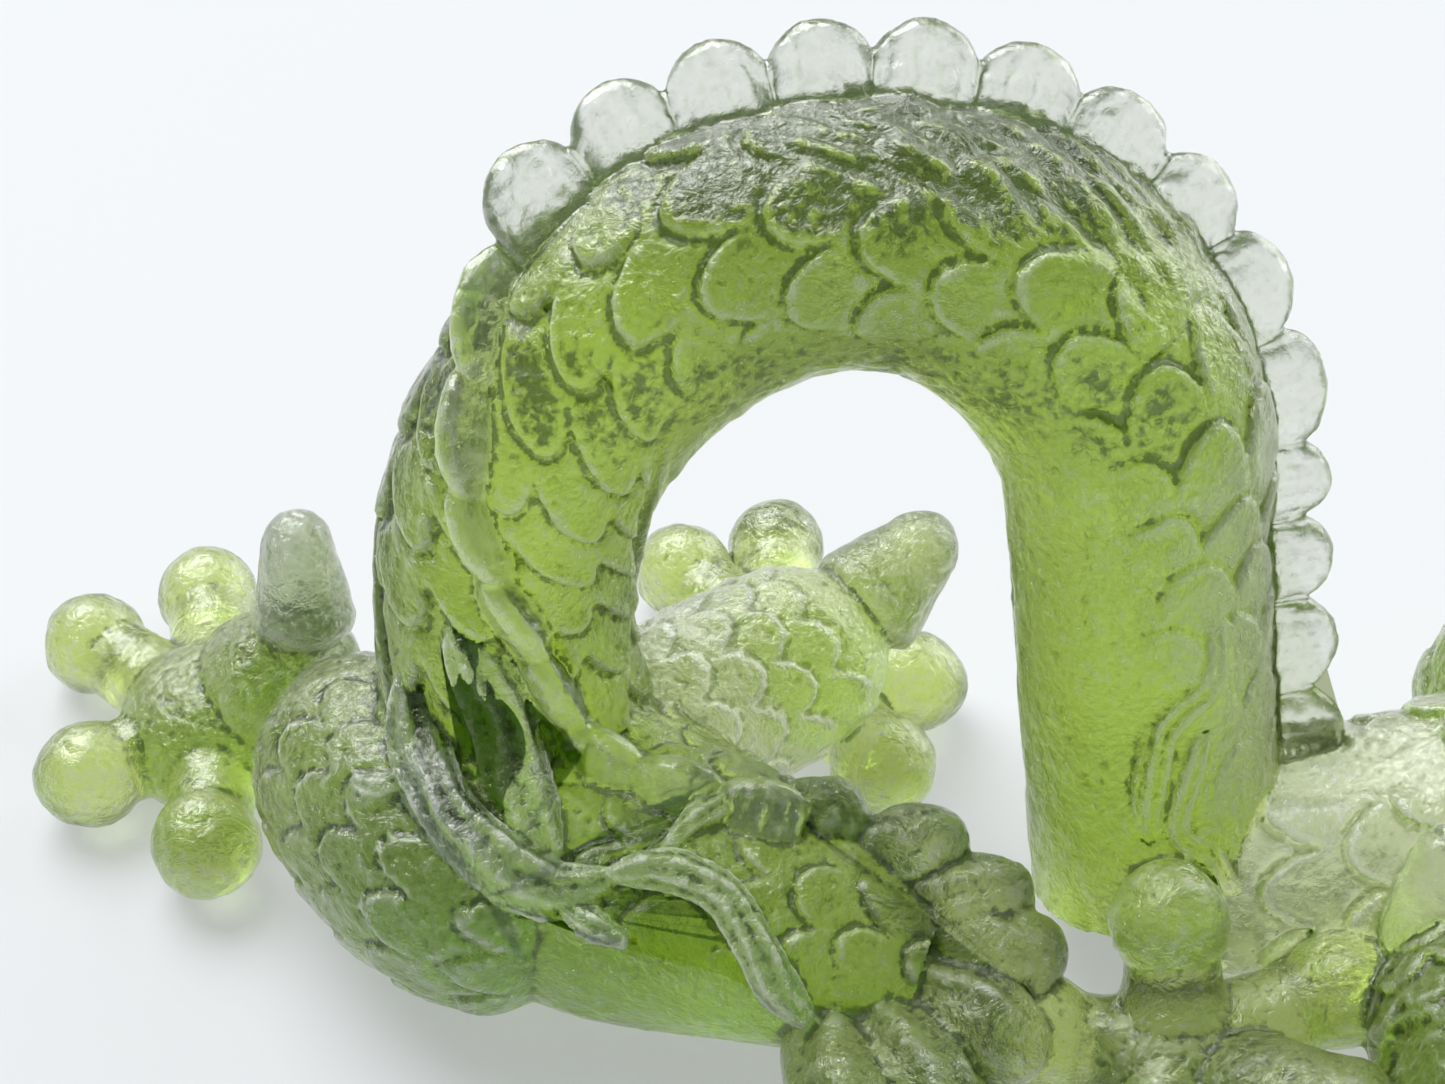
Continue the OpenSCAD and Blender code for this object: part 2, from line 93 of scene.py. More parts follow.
def crown_row(turn):
    """One row over the top of the arch: place, radii and back, at a turn of 0 to 180 degrees."""
    a = math.radians(turn)
    swell = TRUNK_R + 0.8 * max(0.0, -math.sin(2 * a))
    early = {0: [-0.15, -1, 0], 20: [-0.7, -0.8, 0.35], 40: [-0.75, 0, 0.65]}
    back = early.get(turn, [-math.cos(a), 0.55 * math.sin(a), math.sin(a)])
    return [
        COLUMN_X + ARCH_SPAN / 2 * (1 - math.cos(a)) + 3 * math.sin(a) + math.sin(2 * a),
        COLUMN_Y + (CROWN_Y - COLUMN_Y) * math.sin(a),
        SPRING_Z + (ARCH_HEIGHT - SPRING_Z) * math.sin(a),
        swell, swell, *back,
    ]


# Rows of a sweep: x, y, z, half width, half height, and the direction of the back
FALL_X = COLUMN_X + ARCH_SPAN
ARCH = [
    [-2, -1, 9, 10, 10, 0.8, -0.6, 0.6],
    [-4, 2.5, 16, TRUNK_R + 0.6, TRUNK_R, 0.8, -0.8, 0.5],
    [-5, 5, 24.5, TRUNK_R, TRUNK_R, 0.45, -1, 0.15],
    *[crown_row(turn) for turn in range(0, 181, 20)],
    [FALL_X + 1, 4.5, 24, TRUNK_R, TRUNK_R, 1, 0, 0],
    [FALL_X + 2, 0, 14.5, TRUNK_R + 0.3, TRUNK_R, 1, 0, 0.1],
    [FALL_X + 3, -3, 6, TRUNK_R + 0.6, TRUNK_R, 1, 0, 0.2],
]
RISE_END, CROWN_END, ARCH_END = 5, 10, len(ARCH) - 1

RUMP = [
    [-9, 4, 9, 8, 8, 0, 0, 1],
    [-3, -0.5, 10, 12.5, 11, 0, 0, 1],
    [5, -6, 10, 13, 10.5, 0, 0, 1],
    [13, -9.8, 10, 11, 9.6, 0, 0.1, 1],
    [20, -12.2, 9.2, 9.2, 8.6, 0.1, 0.2, 1],
    [27, -14.5, 8, 6.4, 6, 0.2, 0.2, 1],
]
RUMP_END, TAIL_END = 2.5, len(RUMP) - 1

NECK = [
    [44, -1, 7, 8, 8, 0, 0, 1],
    [54, -3, 7.8, 10, 9.2, 0, 0, 1],
    [65, -3, 8.8, 10.5, 9.8, -0.1, 0, 1],
    [77, -1, 14, 10, 9.5, -0.4, 0, 1],
    [85, 1, 24, 8.5, 8.5, -1, 0, 0.6],
    [87, 2, 35, 7.6, 7.6, -1, 0, 0.2],
    [90, 2, 45, 7.2, 7.2, -1, 0, 0.6],
    [97, 1, 51, 6.5, 6.5, -0.4, 0, 1],
]
CHEST_END, NECK_SPLIT, NECK_END = 3, 5, len(NECK) - 1

# For each leg: rows of its upper and lower limb (x, y, z, half width, half height), the spur's foot and a
# point that it leans towards, the spur's radii, the palm's centre and radius, and the toes' centres
LEGS = {
    "hind_left": {
        "upper": [
            [4, -8, 10.5, 10.5, 9.5], [-6, -5.6, 11, 12, 11],
            [-15, 2.6, 11, 10, 10], [-21.5, 13, 11.5, 7, 7.5],
        ],
        "lower": [[-21, 13, 11, 7, 7], [-26, 16.5, 8.5, 7, 6.5], [-31, 16.5, 5, 6.5, 5]],
        "spur": [[-22.4, 15.5, 13.5], [-23.2, 20.5, 24]],
        "spur_r": [4.6, 3.6, 2.4],
        "palm": [-31, 15.6, 4.5, 7.4],
        "toes": [[-34.5, 32.5, 4.4], [-43.4, 26, 4.4], [-40.8, 10, 4.4], [-30, 2, 4.4]],
    },
    "hind_right": {
        "upper": [
            [3, 5, 11, 8, 8], [11, 10.5, 12, 8.2, 8.2],
            [18, 14.5, 13.5, 7.6, 7.6], [24.5, 18.5, 16.5, 5.6, 5.6],
        ],
        "lower": [[20, 16, 12, 5, 5], [19, 21, 8, 4.8, 4.8], [17, 25, 5, 5, 4]],
        "spur": [[22.5, 17.2, 15], [30, 23, 20]],
        "spur_r": [6, 4.2, 2.4],
        "palm": [17, 25, 4, 5.4],
        "toes": [[8.5, 36, 4.2], [17, 39.5, 4.2], [28.5, 21.5, 4.2], [25.5, 11.5, 4.2]],
    },
    "fore_right": {
        "upper": [
            [68, -10, 9, 8.5, 8.5], [69.5, -20, 8.8, 9.5, 9.5],
            [67, -28, 8.5, 8.5, 8.5], [60, -31, 7.5, 6.5, 6.5],
        ],
        "lower": [[60, -30.5, 7.5, 6, 6], [54, -27.5, 7, 5, 5], [47, -21.5, 5.5, 4.8, 4.5]],
        "spur": [[64.5, -16, 10], [65.2, -13.6, 17]],
        "spur_r": [4.2, 3.2, 2],
        "palm": [46, -20.5, 4.5, 6],
        "toes": [[45.3, -14.6, 13.2], [58.5, -16, 7.6], [36, -18.5, 5.5], [42, -31.5, 4.4]],
    },
    "fore_left": {
        "upper": [
            [74, 4, 11, 8, 8], [78, 11, 11.5, 8.5, 8.5], [82, 18, 11, 7, 7], [88, 22, 9.5, 5.5, 5.5],
        ],
        "lower": [[87, 22, 10, 5.2, 5.2], [94, 22, 8, 4.6, 4.6], [100, 20, 5, 4.8, 4.5]],
        "spur": [[79, 16, 14], [74.5, 17, 22]],
        "spur_r": [4.2, 3.2, 2],
        "palm": [101, 20, 4.5, 5.8],
        "toes": [[101, 32, 4.4], [112, 27, 4.4], [113.5, 15, 4.4], [103, 7.5, 4.4]],
    },
}

# Rows of the blunt locks of the tail's fan
LOCKS = {
    "tail_locks_upper": [
        [[15, -8.5, 12, 3, 3], [19, -7.4, 16, 3.4, 4], [22, -6.8, 19.4, 2.8, 2.8]],
        [[20, -10, 11, 3, 3.4], [26, -9, 14.5, 3.4, 4.2], [30, -8.6, 17.8, 2.8, 2.8]],
        [[22, -12, 9.5, 3.2, 3.6], [30, -12, 12, 3.6, 4.4], [35, -12, 15.5, 2.9, 2.9]],
        [[23, -13, 8.5, 3.2, 3.6], [32, -15, 10, 3.8, 4.8], [37.5, -16, 12.5, 3.2, 3.2]],
    ],
    "tail_locks_lower": [
        [[23, -14, 7, 3.4, 3.8], [30.5, -20, 8, 4, 5], [35.5, -24, 9.5, 3.2, 3.2]],
        [[22, -15, 6, 3.4, 3.8], [26, -24.5, 7, 4, 5], [30.5, -31, 8.5, 3.2, 3.2]],
        [[20, -15, 6, 3.2, 3.6], [20.5, -25.5, 6.5, 4, 5], [23.5, -34.5, 8, 3.2, 3.2]],
    ],
}

# Raised ribs and curls that lie on the skin: points along each, and half width and height at its middle
RIBS = {
    "hip_flame": [
        (
            [[-12, -2.5, 27.5], [-11, -5, 23.5], [-9, -10, 22], [-5, -14.2, 20], [-0.5, -15.5, 17.8],
             [4.7, -15.2, 19.2]],
            2.3, 1.3,
        ),
        (
            [[-8.2, -3, 32.2], [-5.5, -5, 28.5], [-4, -6.8, 24], [-2.4, -11, 21], [-0.2, -14.4, 18.5]],
            2.5, 1.3,
        ),
        (
            [[3, -15.4, 19.2], [7.6, -15.4, 19.8], [11.7, -17, 19.2], [14.2, -20, 17], [16.2, -21.8, 14],
             [19, -22.3, 10]],
            1.6, 1.2,
        ),
        ([[0, -16.4, 17.2], [2.5, -17.8, 16.6], [5.2, -19.2, 15.8]], 1.2, 1.0),
        ([[-16, -6.6, 20.2], [-13.5, -8.4, 20.8], [-11, -7.4, 21.8]], 1.3, 1.0),
        ([[7.6, -13.9, 20], [10.6, -10.6, 20.8], [13.6, -9.2, 20.4], [17.3, -9.3, 19.4]], 1.2, 1.0),
    ],
    "shoulder_flame": [
        (
            [[48.1, -1.1, 33.5], [48.1, -3.7, 27.8], [44.8, -6.2, 24.6], [43.9, -8.4, 20],
             [44.1, -10, 16.3]],
            1.4, 1.3,
        ),
        (
            [[48.2, -5.1, 25.1], [47.1, -6.9, 22.7], [46.2, -9.4, 17.8], [49.1, -9.9, 15.1],
             [51, -11.7, 12.7]],
            1.2, 1.2,
        ),
    ],
}

# ---------------------------------------------------------------- small mathematics


def unit(v):
    """Vectors of length one, from rows of any length."""
    return v / np.maximum(np.linalg.norm(v, axis=-1, keepdims=True), 1e-9)


def rows_at(rows, t):
    """Rows at t, from 0 to the last row, on a smooth curve through all the rows."""
    rows = np.asarray(rows, float)
    t = np.atleast_1d(np.asarray(t, float))
    last = len(rows) - 1
    i = np.clip(np.floor(t).astype(int), 0, last - 1)
    u = (t - i)[:, None]
    held = np.vstack([2 * rows[0] - rows[1], rows, 2 * rows[-1] - rows[-2]])
    a, b, c, d = held[i], held[i + 1], held[i + 2], held[i + 3]
    return 0.5 * (2 * b + (c - a) * u + (2 * a - 5 * b + 4 * c - d) * u**2 + (3 * b - a - 3 * c + d) * u**3)


def axes_at(rows, t):
    """Along the sweep, out of its back, and to its side."""
    along = unit(rows_at(rows, t + STEP)[:, :3] - rows_at(rows, t - STEP)[:, :3])
    here = rows_at(rows, t)
    back = here[:, 5:8] if here.shape[1] > 5 else np.tile([0.05, 0, 1], (len(here), 1))
    up = unit(back - np.sum(back * along, 1, keepdims=True) * along)
    return along, up, np.cross(along, up)


def length_along(rows, t):
    """Distance along a sweep's centreline to each t, in mm."""
    fine = np.linspace(0, len(rows) - 1, 400)
    places = rows_at(rows, fine)[:, :3]
    run = np.concatenate([[0], np.cumsum(np.linalg.norm(np.diff(places, axis=0), axis=1))])
    return np.interp(t, fine, run)


def wobble(points, size, seed=0):
    """Smooth noise from about -1 to 1, with bumps of the given size."""
    q = points / size + seed * 17.31
    cell = np.floor(q).astype(np.int64)
    part = q - cell
    part = part * part * (3 - 2 * part)
    total = np.zeros(len(points))
    for corner in itertools.product((0, 1), repeat=3):
        key = (cell + corner) @ np.array([73856093, 19349663, 83492791])
        key = (key ^ (key >> 13)) * 1274126177
        value = ((key ^ (key >> 16)) & 65535) / 32767.5 - 1
        total += value * np.prod(np.where(corner, part, 1 - part), axis=1)
    return total


def ease(x, low, high):
    """0 below low, 1 above high, smooth between."""
    u = np.clip((x - low) / (high - low), 0, 1)
    return u * u * (3 - 2 * u)


# ---------------------------------------------------------------- relief carved into the skin


def scales(along, across, pitch=5.2, width=6.2, step=0.75, groove=0.75):
    """Height of overlapping round scales whose free edges point towards smaller along."""
    u = -along
    height = np.zeros(len(u))
    beyond = np.full(len(u), 9.0)
    found = np.zeros(len(u), bool)
    first = np.floor(u / pitch) - 1
    for k in range(3):
        row = first + k
        off = (across - 0.5 * width * (row % 2)) / width
        dx = (off - np.round(off)) * width
        arc = np.sqrt(np.maximum(0.02, 1 - (dx / (width * 0.54)) ** 2))
        slope = 1.05 * pitch * dx / (width * 0.54) ** 2 / arc
        edge = (row * pitch + pitch * (1.05 * arc - 0.05) - u) / np.sqrt(1 + slope**2)
        here = (edge >= 0) & ~found
        tilt = step * (1 - np.minimum(edge / pitch, 1)) ** 1.5
        dome = 0.35 * (1 - (dx / (width * 0.5)) ** 2)
        lip = 0.3 * np.exp(-((edge / 0.25) ** 2))
        height = np.where(here, tilt + dome - lip - groove * np.exp(-((beyond / 0.45) ** 2)), height)
        beyond = np.where(found | here, beyond, np.minimum(beyond, -edge))
        found |= here
    return height


def hacked(run, across, size=2.2, depth=0.9):
    """Height of a surface broken by short slanting cuts."""
    slant = np.stack([(run + 0.7 * across) * 0.45, (across - 0.7 * run) * 1.1, 0 * run], 1)
    return depth * (np.abs(wobble(slant, size, 4)) - 0.35 + 0.4 * wobble(slant, size * 0.45, 14))


def trunk_relief(rows, t, angle, radius, places):
    """Scales on the trunk's flanks, fainter down the far column, with a rough back at the crown."""
    wander = 0.55 * wobble(places, 7, 1)
    drift = 0.7 * wobble(places, 9, 2)
    run = length_along(rows, t) + wander
    across = radius * angle + drift
    side = np.degrees(np.abs(angle))
    limit = np.interp(t, [0, 3, 5, 7.5, 10, 12, 14], [84, 84, 112, 140, 118, 100, 90])
    limit = limit + 5 * wobble(places, 8, 3)
    strength = np.interp(t, [0, 9.5, 11.5, 13.5], [1, 1, 0.7, 0.25])
    scaled = ease(limit - side, 0, 14) * ease(side, 8, 20) * strength
    crown = ease(t, 6.2, 7.4) * ease(10.6 - t, 0, 1)
    rough = crown * ease(80 - side + 12 * wobble(places, 4, 15), 0, 20)
    height = (1 - rough) * scaled * scales(run, across) + rough * hacked(run, across)
    fade = np.interp(t, [3.5, 5.5], [1, 0])
    ridge = 0.5 * fade * np.exp(-(((side - limit - 3) / 4) ** 2))
    trench = 0.5 * fade * np.exp(-(((side - limit + 4) / 3.5) ** 2))
    belly = ease(side - limit, 2, 12)
    dashes = 0.09 * wobble(np.stack([run * 0.5, across * 1.6, 0 * run], 1), 1.3, 4)
    return height + ridge - trench + belly * dashes


def rump_relief(rows, t, angle, radius, places):
    """Small scales on the upper rump; its lower flank stays smooth."""
    run = length_along(rows, t) + 0.5 * wobble(places, 6, 5)
    side = np.degrees(np.abs(angle))
    mask = ease(70 - side, 0, 15) * ease(side, 10, 22)
    return 0.7 * mask * scales(run, radius * angle, 4.4, 5.2)


def neck_relief(rows, t, angle, radius, places):
    """Scales on the back of the neck and broad plates on its throat."""
    run = length_along(rows, t) + 0.5 * wobble(places, 7, 6)
    side = np.degrees(np.abs(angle))
    mask = ease(112 - side, 0, 10) * ease(side, 10, 22)
    plates = ease(side, 125, 140) * 0.4 * np.abs(np.sin(run * math.pi / 4.2)) ** 0.5
    return mask * scales(run, radius * angle) + plates


def thigh_relief(rows, t, angle, radius, places):
    """Small scales all over the upper part of a leg, fading towards its ends."""
    run = -length_along(rows, t) + 0.6 * wobble(places, 6, 7)
    mask = ease(t, 0.2, 0.8) * ease(len(rows) - 1.2 - t, 0, 0.6)
    return 0.6 * mask * scales(run, radius * angle, 4.2, 5) + 0.1 * wobble(places, 1.8, 9)


def hair_relief(rows, t, angle, radius, places):
    """Combed strokes that run along a lock."""
    combs = np.sin(7 * angle + 2.2 * wobble(places, 4, 8))
    return 0.22 * combs * np.sin(math.pi * np.clip(t / (len(rows) - 1), 0, 1)) ** 0.5


def skin_relief(rows, t, angle, radius, places):
    """The slight unevenness of a part shaped by hand."""
    return 0.12 * wobble(places, 3.2, 9) + 0.05 * wobble(places, 1.3, 10)


# ---------------------------------------------------------------- sweeps


class Shape:
    """A closed mesh in mm: its points and its faces."""

    def __init__(self, points, faces):
        self.points = np.asarray(points, float)
        self.faces = faces

    def moved(self, matrix, at):
        """The shape turned and scaled by a matrix, then moved."""
        return Shape(self.points @ np.asarray(matrix, float).T + np.asarray(at, float), self.faces)


def closed_rings(points, rings, sides):
    """A closed shape over rings of points, its two ends filled by one face each."""
    i, k = np.meshgrid(np.arange(rings - 1), np.arange(sides), indexing="ij")
    a = (i * sides + k).ravel()
    b = (i * sides + (k + 1) % sides).ravel()
    walls = np.stack([a, b, b + sides, a + sides], 1).tolist()
    start = list(range(sides))[::-1]
    end = [(rings - 1) * sides + k for k in range(sides)]
    return Shape(points, walls + [start, end])


def swept(rows, t, sides, share, relief):
    """A sweep through the given places, its radii scaled by share and carved by relief."""
    rings = len(t)
    row = rows_at(rows, t)
    along, up, side = axes_at(rows, t)
    angle = np.linspace(-math.pi, math.pi, sides, endpoint=False)
    across = (
        row[:, None, 3:4] * np.sin(angle)[None, :, None] * side[:, None]
        + row[:, None, 4:5] * np.cos(angle)[None, :, None] * up[:, None]
    )
    out = unit(across)
    points = (row[:, None, :3] + share[:, None, None] * across).reshape(-1, 3)
    all_t = np.repeat(t, sides)
    all_angle = np.tile(angle, rings)
    radius = np.repeat((row[:, 3] + row[:, 4]) / 2, sides)
    depth = relief(rows, all_t, all_angle, radius, points) * np.repeat(share, sides)
    return closed_rings(points + depth[:, None] * out.reshape(-1, 3), rings, sides)


def counts(rows):
    """How many rings and sides make faces of about the skin's own size."""
    t = np.linspace(0, len(rows) - 1, 40)
    row = rows_at(rows, t)
    run = length_along(rows, [len(rows) - 1])[0]
    around = math.pi * float(row[:, 3:5].sum(1).max())
    return max(8, int(run / GRAIN)), max(10, int(around / GRAIN))


def stretch(rows, start, end, relief):
    """A stretch of trunk, cut square at each end, that laps its neighbours a little."""
    rings, sides = counts(rows)
    rings = max(4, int(rings * (end - start) / (len(rows) - 1) * 1.4))
    return swept(rows, np.linspace(start - LAP, end + LAP, rings), sides, np.ones(rings), relief)


def limb(rows, tips, relief=skin_relief):
    """A limb that is rounded over the given shares of its length at its two ends."""
    rings, sides = counts(rows)
    q = (1 - np.cos(np.linspace(0, math.pi, rings))) / 2
    near = np.minimum(np.minimum(q / tips[0], (1 - q) / tips[1]), 1)
    share = np.maximum(0.02, np.sqrt(np.maximum(0, 1 - (1 - near) ** 2)))
    return swept(rows, q * (len(rows) - 1), sides, share, relief)


def ball(at, radii):
    """A round ball, wider or flatter by its own radii."""
    x, y, z = at
    rows = [[x - radii[0], y, z, radii[1], radii[2]], [x + radii[0], y, z, radii[1], radii[2]]]
    return limb(rows, (0.5, 0.5))


def crest(rows, start, end, lobes, heights):
    """A strip of pillowy, fluted lobes on the back of a sweep, its heights given as shares of CREST_H."""
    run = length_along(rows, [start, end])
    rings = max(20, int((run[1] - run[0]) * 1.6 / GRAIN))
    q = np.linspace(0, 1, rings)
    t = start + (end - start) * q
    row = rows_at(rows, t)
    _, up, side = axes_at(rows, t)
    wave = np.abs(np.sin(math.pi * q * lobes))
    height = CREST_H * (heights[0] + (heights[1] - heights[0]) * q) * (0.45 + 0.55 * np.sqrt(wave))
    profile = max(12, int(20 / GRAIN))
    p = np.linspace(-1, 1, profile)
    level = 1 - np.abs(p) ** 1.15
    sign = np.sign(p)
    puff = 0.62 + 0.5 * wave**0.7
    half = 2.3 * (1 - level) ** 0.75 * puff[:, None] + 0.62 * np.abs(sign) * ease(np.abs(p), 0, 0.12)
    comb = np.sin(q * lobes * 2 * math.pi * 4.5)[:, None]
    half = half + 0.08 * comb * ease(1 - level, 0.05, 0.3) * ease(level, 0.02, 0.2)
    low, top = row[:, 4] - 2.5, row[:, 4] + height
    rise = low[:, None] + (top - low)[:, None] * level
    points = row[:, None, :3] + (sign * half)[..., None] * side[:, None] + rise[..., None] * up[:, None]
    return closed_rings(points.reshape(-1, 3), rings, profile)


# ---------------------------------------------------------------- the parts of the figure


def spur(leg):
    """The blunt spur on a knee or an elbow."""
    foot = np.array(leg["spur"][0], float)
    tip = foot + SPUR_L * unit(np.array(leg["spur"][1], float) - foot)
    base, middle, end = leg["spur_r"]
    rows = [[*foot, base, base], [*(foot + tip) / 2, middle, middle], [*tip, end, end]]
    return limb(rows, (0.25, 0.2))


def palm(leg):
    """The broad, flattened palm of a paw."""
    x, y, z, radius = leg["palm"]
    return ball((x, y, z), (radius * PALM_SPREAD, radius * PALM_SPREAD, radius * PALM_FLATNESS))


def toe(leg, tip):
    """One round toe on its short stalk."""
    palm_at = np.array(leg["palm"][:3], float)
    tip = np.array(tip, float)
    out = unit(tip - palm_at)
    foot = palm_at + out * leg["palm"][3] * 0.5
    stalk = [[*foot, 4.8, 4.8], [*(foot + tip) / 2, 3.7, 3.7], [*tip, 3.7, 3.7]]
    pad = [
        [*(tip - out * TOE_R * 1.1), TOE_R * 0.9, TOE_R * 0.9],
        [*tip, TOE_R, TOE_R],
        [*(tip + out * TOE_R * 1.1), TOE_R * 0.92, TOE_R * 0.92],
    ]
    return [limb(stalk, (0.1, 0.1)), limb(pad, (0.5, 0.5))]


HEAD_AT = [98, 1, 52]
HEAD_TURN = Euler([math.radians(a) for a in (0, 6, -18)]).to_matrix()
HEAD_SCALE = 1.15


def mirrored(shapes):
    """The same shapes on the other side of the head."""
    flip = np.diag([1.0, -1.0, 1.0])
    return [Shape(s.points @ flip, [list(face)[::-1] for face in s.faces]) for s in shapes]


def on_head(shapes, both=False):
    """Shapes of the head's own frame put where the head is, on one side or on both."""
    turn = np.array(HEAD_TURN) * HEAD_SCALE
    if both:
        shapes = shapes + mirrored(shapes)
    return [s.moved(turn, HEAD_AT) for s in shapes]


def sprig(rows, tips=(0.2, 0.3)):
    """A slim part of the head."""
    return limb(rows, tips)


def head_parts():
    """The pieces of the plain dragon head, by node."""
    horn = [
        [[0, 3.5, 6, 1.9, 1.9], [-HORN_L * 0.4, 5, 9.5, 1.6, 1.6], [-HORN_L, 7, 10.5, 0.9, 0.9]],
        [[-HORN_L * 0.35, 4.8, 9, 1.2, 1.2], [-HORN_L * 0.5, 5.2, 13, 0.8, 0.8]],
    ]
    mane = [
        [[-2, 6.5, -1, 2.2, 2.2], [-8, 9, 0, 2.4, 2.4], [-15, 10.5, 2.5, 1.1, 1.1]],
        [[-1.5, 6.5, -4, 2.2, 2.2], [-7, 9.5, -5.5, 2.4, 2.4], [-14, 11, -4.5, 1.1, 1.1]],
        [[0.5, 5.5, -6, 2, 2], [-5, 8.5, -10, 2.2, 2.2], [-11.5, 10, -11.5, 1, 1]],
    ]
    beard = [
        [[9 - abs(a) / 3, a, -7.6, 1.6, 1.6], [8, a, -12, 1.2, 1.5], [9.5, a * 1.3, -16, 0.7, 0.7]]
        for a in (-2.5, 0, 2.5)
    ]
    fang = [[14, 3.2, -2, 0.9, 0.9], [14.3, 3.4, -4, 0.7, 0.7], [14.6, 3.6, -5.6, 0.4, 0.4]]
    tongue = [[6, 0, -5, 2, 0.8], [11, 0, -4.9, 2, 0.7], [16.5, 0, -4.6, 1.2, 0.6]]
    brow = [[6.6, 2.2, 4.8, 1.6, 1.4], [3.5, 5.2, 5.7, 1.9, 1.7], [-1.5, 7.3, 6.1, 1.2, 1.1]]
    ear = [[-2, 7, 2.5, 1.8, 1.4], [-6, 10, 4.5, 2.4, 1], [-11, 12, 6, 0.9, 0.6]]
    whisker = [
        [16, 4, 0, 0.9, 0.9], [15, 9, 0.5, 0.9, 0.9], [8, 12.5, 1.5, 0.9, 0.9], [0, 14, -1, 0.7, 0.7],
    ]
    jaw = [[1, 0, -5, 4.6, 2.6], [8, 0, -7, 4, 2], [14.5, 0, -7.5, 3.4, 1.7]]
    muzzle = [[4, 0, -0.5, 6.4, 5], [11, 0, -0.5, 5.4, 3.8], [17, 0, -0.5, 5, 3]]
    locks = [limb(rows, (0.15, 0.3), hair_relief) for rows in mane]
    nose = on_head([ball((17.5, 0, 1.8), (2.4, 3.2, 2.2))])
    nostrils = on_head([ball((17, 2.8, 1.1), (2, 1.5, 1.5))], both=True)
    return {
        "fangs": on_head([sprig(fang)], both=True),
        "tongue": on_head([sprig(tongue)]),
        "eyes": on_head([ball((5.6, 5, 2.6), (EYE_R,) * 3)], both=True),
        "brows": on_head([sprig(brow)], both=True),
        "nose": nose + nostrils,
        "ears": on_head([sprig(ear)], both=True),
        "horns": on_head([sprig(rows, (0.1, 0.2)) for rows in horn], both=True),
        "whiskers": on_head([sprig(whisker, (0.1, 0.1))], both=True),
        "beard": on_head([limb(rows, (0.2, 0.3), hair_relief) for rows in beard]),
        "mane_left": on_head(locks),
        "mane_right": on_head(mirrored(locks)),
        "lower_jaw": on_head([limb(jaw, (0.2, 0.3))]),
        "muzzle": on_head([limb(muzzle, (0.2, 0.25))]),
        "skull": on_head([ball((0, 0, 0), (9.5, 8, 7.5))]),
    }


def leg_parts(name):
    """The parts of one leg, by node."""
    leg = LEGS[name]
    kind, side = name.split("_")
    upper, lower = ("thigh", "shank") if kind == "hind" else ("arm", "wrist")
    return {
        f"{kind}_toes_{side}": list(itertools.chain(*(toe(leg, tip) for tip in leg["toes"]))),
        f"{kind}_spur_{side}": [spur(leg)],
        f"{kind}_paw_{side}": [palm(leg)],
        f"{kind}_{lower}_{side}": [limb(leg["lower"], (0.35, 0.35))],
        f"{kind}_{upper}_{side}": [limb(leg["upper"], (0.3, 0.25), thigh_relief)],
    }


def crest_parts():
    """The crest, by node."""
    return {
        "crest_tail": [crest(RUMP, 1.4, 3.5, 3, (0.4, 0.55))],
        "crest_rise": [crest(ARCH, 0.9, RISE_END, 6, (0.3, 0.6))],
        "crest_crown": [crest(ARCH, RISE_END, CROWN_END, 8, (1, 0.75))],
        "crest_fall": [crest(ARCH, CROWN_END, ARCH_END - 0.9, 6, (0.75, 0.85))],
        "crest_neck": [crest(NECK, 2.5, NECK_END - 0.9, 7, (0.6, 0.8))],
    }


def lock_parts():
    """The locks of the tail's fan, by node."""
    return {
        name: [limb(rows, (0.2, 0.35), hair_relief) for rows in locks]
        for name, locks in LOCKS.items()
    }


def rib_parts():
    """The raised ribs, by node: slim at both ends, and partly sunk in the skin."""
    parts = {}
    for name, ribs in RIBS.items():
        parts[name] = []
        for line, half, height in ribs:
            taper = [0.45, *[1] * (len(line) - 2), 0.4]
            places = np.array(line) + RIB_SINK
            rows = [
                [*place, half * share, height * share, *RIB_BACK] for place, share in zip(places, taper)
            ]
            parts[name].append(limb(rows, (0.12, 0.12), hair_relief))
    return parts


def trunk_parts():
    """The stretches of the trunk, by node."""
    return {
        "tail_root": [stretch(RUMP, RUMP_END, TAIL_END, rump_relief)],
        "rump": [stretch(RUMP, 0, RUMP_END, rump_relief)],
        "arch_rise": [stretch(ARCH, 0, RISE_END, trunk_relief)],
        "arch_crown": [stretch(ARCH, RISE_END, CROWN_END, trunk_relief)],
        "arch_fall": [stretch(ARCH, CROWN_END, ARCH_END, trunk_relief)],
        "chest": [stretch(NECK, 0, CHEST_END, neck_relief)],
        "neck_lower": [stretch(NECK, CHEST_END, NECK_SPLIT, neck_relief)],
        "neck_upper": [stretch(NECK, NECK_SPLIT, NECK_END, neck_relief)],
    }


def figure_parts():
    """Every shape of the figure, by node, in the order in which they are cut off the skin."""
    parts = {**head_parts(), **crest_parts()}
    for name in LEGS:
        parts.update(leg_parts(name))
    return {**parts, **lock_parts(), **rib_parts(), **trunk_parts()}


# ---------------------------------------------------------------- fused skin


def mesh_object(name, points, faces):
    """A mesh object from points in mm."""
    mesh = bpy.data.meshes.new(name)
    mesh.from_pydata((np.asarray(points) * MM).tolist(), [], faces)
    obj = bpy.data.objects.new(name, mesh)
    bpy.context.scene.collection.objects.link(obj)
    return obj


def applied(obj):
    """The object with its modifiers made final."""
    graph = bpy.context.evaluated_depsgraph_get()
    mesh = bpy.data.meshes.new_from_object(obj.evaluated_get(graph))
    obj.modifiers.clear()
    old = obj.data
    obj.data = mesh
    bpy.data.meshes.remove(old)
    return obj


